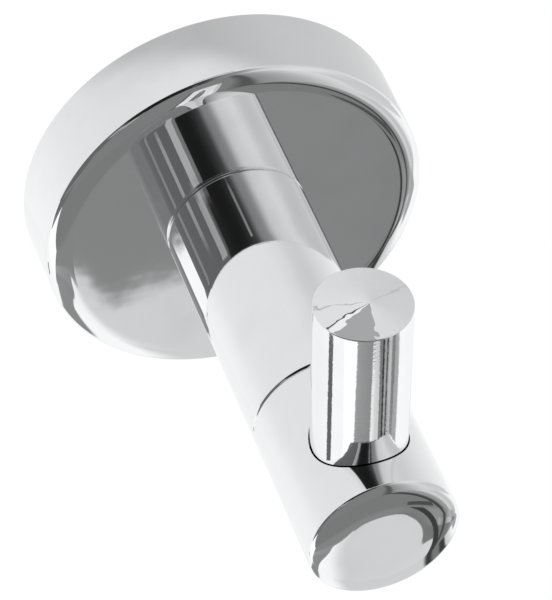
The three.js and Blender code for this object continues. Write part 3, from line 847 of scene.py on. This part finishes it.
# A dark batten close to the left, placed from the peg
BATTEN = (over_level, -100, -88, -50.5, -44.5, 0.14)
BATTEN_CENTRE, BATTEN_DISTANCE = (0, -PEG_FROM_WALL, 0.02), 0.5


class HOOK_OT_studio(bpy.types.Operator):
    """Makes the studio: camera, pale floor, cards and the soft light of the room"""

    bl_idname = "towel_hook.studio"
    bl_label = "Studio"

    def execute(self, context):
        self.camera(context.scene)
        self.floor(context.scene)
        for number, (name, card) in enumerate(CARDS.items()):
            self.card(context.scene, name, *card, (0, 0, 0), CARD_DISTANCE - number * CARD_STEP)
        self.card(context.scene, "dark_batten", *BATTEN, BATTEN_CENTRE, BATTEN_DISTANCE)
        self.room(context.scene)
        context.scene.view_settings.view_transform = "Standard"
        return {"FINISHED"}

    def camera(self, scene):
        """Camera from azimuth, elevation, distance and roll, with the picture's centre as a shift."""
        azimuth, elevation, roll = map(math.radians, (CAMERA_AZIMUTH, CAMERA_ELEVATION, CAMERA_ROLL))
        reach = math.cos(elevation)
        back = Vector((math.sin(azimuth) * reach, -math.cos(azimuth) * reach, math.sin(elevation)))
        level = Vector((math.cos(azimuth), math.sin(azimuth), 0))
        upright = back.cross(level)
        right = math.cos(roll) * level + math.sin(roll) * upright
        up = math.cos(roll) * upright - math.sin(roll) * level
        lens = bpy.data.cameras.new("photo_camera")
        lens.sensor_width = SENSOR_WIDTH
        lens.lens = FOCAL_PIXELS * SENSOR_WIDTH / PHOTO_LONG_SIDE
        lens.shift_x = -CENTRE_RIGHT_PIXELS / PHOTO_LONG_SIDE
        lens.shift_y = CENTRE_DOWN_PIXELS / PHOTO_LONG_SIDE
        camera = bpy.data.objects.new("photo_camera", lens)
        turn = Matrix((right, up, back)).transposed().to_4x4()
        camera.matrix_world = Matrix.Translation(Vector(CAMERA_TARGET) + back * CAMERA_DISTANCE) @ turn
        scene.collection.objects.link(camera)
        scene.camera = camera

    def stage_piece(self, scene, name, points, faces, light):
        """Glowing stage mesh. The light is a number, or a function that makes it in the material's tree."""
        mesh = bpy.data.meshes.new(name)
        mesh.from_pydata(points, [], faces)
        material, tree = new_material(name)
        strength = light(tree) if callable(light) else light
        shader = node(tree, "Emission", {"Color": (*linear("#FFFFFF"), 1), "Strength": strength})
        node(tree, "OutputMaterial", {"Surface": shader})
        mesh.materials.append(material)
        made = bpy.data.objects.new(name, mesh)
        scene.collection.objects.link(made)
        return made

    def floor(self, scene):
        """Pale floor that glows with painted light, a plain rectangle."""
        corners = [
            (side * FLOOR_HALF_WIDTH, end, -FLOOR_DROP)
            for side, end in ((-1, FLOOR_FRONT), (1, FLOOR_FRONT), (1, FLOOR_BACK), (-1, FLOOR_BACK))
        ]
        self.stage_piece(scene, "floor", corners, [(0, 1, 2, 3)], self.floor_light)

    def floor_light(self, tree):
        """Painted light of the glowing floor: dimmer to the back, with its stretches of painted shade, and
        plain white for the camera.
        """
        place = node(tree, "TexCoord").outputs["Object"]
        parts = node(tree, "SeparateXYZ", {"Vector": place}).outputs
        light = self.ramp(tree, parts["Y"], FLOOR_LIGHT)
        # Each stretch lowers the floor's glow to its own light: painted shade
        for left, right, back, softness, stretch_light in FLOOR_STRETCHES.values():
            inside = 1
            for axis, edge, side in (("X", left, 1), ("X", right, -1), ("Y", back, -1)):
                ends = {"From Min": edge - side * softness, "From Max": edge + side * softness}
                reach = {"Value": parts[axis], **ends}
                past = node(tree, "MapRange", reach, interpolation_type="SMOOTHSTEP")
                inside = node(tree, "Math", {0: inside, 1: past}, operation="MULTIPLY")
            light = node(tree, "Mix", {"Factor": inside, "A": light, "B": stretch_light})
        seen = node(tree, "LightPath").outputs["Is Camera Ray"]
        return node(tree, "Mix", {"Factor": seen, "A": light, "B": PLAIN_WHITE})

    def card(self, scene, name, measure, first_from, first_to, last_from, last_to, light, centre, distance):
        """Patch of a sphere: centre + distance x direction, over a grid of the two angles."""
        first, last = np.meshgrid(
            np.radians(np.linspace(first_from, first_to, CARD_POINTS)),
            np.radians(np.linspace(last_from, last_to, CARD_POINTS)),
        )
        points = np.array(centre) + distance * measure(first, last)
        faces = grid_quads(CARD_POINTS, CARD_POINTS).tolist()
        made = self.stage_piece(scene, name, points.reshape(-1, 3).tolist(), faces, light)
        made.visible_camera = False

    def room(self, scene):
        """Room light by direction. Behind the wall's plane is a ramp with a dimmer strip farther behind. In
        front of it is a ramp, then the light ahead, the light round a dark seam, and three layers below with
        a lit stretch. All are blended where they meet, and the camera itself sees plain white."""
        world = bpy.data.worlds.new("soft_room")
        world.use_nodes = True
        tree = world.node_tree
        tree.nodes.clear()
        direction = node(tree, "TexCoord").outputs["Generated"]
        parts = node(tree, "SeparateXYZ", {"Vector": direction}).outputs
        towards_front = node(tree, "Math", {0: parts["Y"], 1: -1}, operation="MULTIPLY")
        turn = node(tree, "Math", {0: parts["X"], 1: parts["Z"]}, operation="ARCTAN2")
        aside = node(tree, "Math", {0: parts["X"], 1: towards_front}, operation="ARCTAN2")
        height = node(tree, "Math", {0: parts["Z"]}, operation="ARCSINE")
        out = node(tree, "Math", {0: towards_front}, operation="ARCCOSINE")
        beside = node(tree, "Math", {0: aside, 1: height}, operation="ADD")
        behind = self.angle_ramp(tree, turn, ROOM_BEHIND)
        past_far = self.past_edge(tree, out, turn, FAR_EDGE)
        far = self.angle_ramp(tree, turn, FAR_LIGHT)
        far = self.blended(tree, past_far, (-FAR_SOFTNESS, FAR_SOFTNESS), behind, far)
        behind = self.blended(tree, out, FAR_END, far, behind)
        front = self.angle_ramp(tree, turn, ROOM_IN_FRONT)
        front = self.blended(tree, parts["Y"], AHEAD_EDGE, self.angle_ramp(tree, aside, ROOM_AHEAD), front)
        front = self.blended(tree, height, SEAM_TOP, self.angle_ramp(tree, beside, ROOM_SEAM), front)
        past_lit = self.past_edge(tree, height, aside, LIT_EDGE)
        lit = self.angle_ramp(tree, aside, LIT_LIGHT)
        for stops, top in LAYERS:
            layer = self.angle_ramp(tree, aside, stops)
            layer = self.blended(tree, past_lit, (-LIT_SOFTNESS, LIT_SOFTNESS), lit, layer)
            front = self.blended(tree, height, top, layer, front)
        light = self.blended(tree, parts["Y"], WALL_PLANE, front, behind)
        seen = node(tree, "LightPath").outputs["Is Camera Ray"]
        plain = (PLAIN_WHITE, PLAIN_WHITE, PLAIN_WHITE, 1)
        shown = node(tree, "Mix", {"Factor": seen, "A": light, "B": plain}, data_type="RGBA")
        shine = node(tree, "Background", {"Color": shown, "Strength": 1})
        node(tree, "OutputWorld", {"Surface": shine})
        scene.world = world

    def past_edge(self, tree, angle, along, stops):
        """How far an angle is past an edge, in whole turns. The edge is (degrees along, degrees) stops."""
        edge_stops = [(place, degrees / FULL_TURN + 0.5) for place, degrees in stops]
        edge = self.angle_ramp(tree, along, edge_stops)
        turns = node(tree, "MapRange", {"Value": angle, "From Min": -math.pi, "From Max": math.pi})
        return node(tree, "Math", {0: turns, 1: edge}, operation="SUBTRACT")

    def blended(self, tree, value, ends, first, last):
        """Colour that eases from the first to the last as the value goes from one end to the other."""
        reach = {"Value": value, "From Min": ends[0], "From Max": ends[1]}
        share = node(tree, "MapRange", reach, interpolation_type="SMOOTHSTEP")
        return node(tree, "Mix", {"Factor": share, "A": first, "B": last}, data_type="RGBA")

    def angle_ramp(self, tree, angle, stops):
        """Grey ramp through (degrees, light) stops, over an angle in radians."""
        return self.ramp(tree, angle, [(math.radians(degrees), light) for degrees, light in stops])

    def ramp(self, tree, value, stops):
        """Grey ramp through (value, light) stops."""
        first, last = stops[0][0], stops[-1][0]
        share = node(tree, "MapRange", {"Value": value, "From Min": first, "From Max": last})
        made = node(tree, "ValToRGB", {"Fac": share})
        elements = made.color_ramp.elements
        while len(elements) < len(stops):
            elements.new(0.5)
        for element, (place, light) in zip(elements, stops):
            element.position = (place - first) / (last - first)
            element.color = (light, light, light, 1)
        return made


PIECES = (
    HOOK_OT_rosette,
    HOOK_OT_post,
    HOOK_OT_head,
    HOOK_OT_peg,
    HOOK_OT_wall_plate,
    HOOK_OT_set_screw,
    HOOK_OT_fasteners,
    HOOK_OT_studio,
)


class HOOK_PT_panel(bpy.types.Panel):
    """Lists the towel hook's operators, sizes and finishes"""

    bl_label = "Towel hook"
    bl_idname = "HOOK_PT_panel"
    bl_space_type = "VIEW_3D"
    bl_region_type = "UI"
    bl_category = "Towel hook"

    def draw(self, context):
        for piece in PIECES:
            self.layout.operator(piece.bl_idname)
        for group in scene_values(context):
            box = self.layout.box()
            for name in group.bl_rna.properties.keys():
                if name not in ("rna_type", "name"):
                    box.prop(group, name)


CLASSES = (HookSizes, HookFinish, *PIECES, HOOK_PT_panel)


def register():
    for made in CLASSES:
        bpy.utils.register_class(made)
    bpy.types.Scene.hook_sizes = bpy.props.PointerProperty(type=HookSizes)
    bpy.types.Scene.hook_finish = bpy.props.PointerProperty(type=HookFinish)


def unregister():
    del bpy.types.Scene.hook_finish
    del bpy.types.Scene.hook_sizes
    for made in reversed(CLASSES):
        bpy.utils.unregister_class(made)


def main():
    """Builds every piece and the studio."""
    register()
    for piece in PIECES:
        family, name = piece.bl_idname.split(".")
        getattr(getattr(bpy.ops, family), name)()


if __name__ == "__main__":
    main()
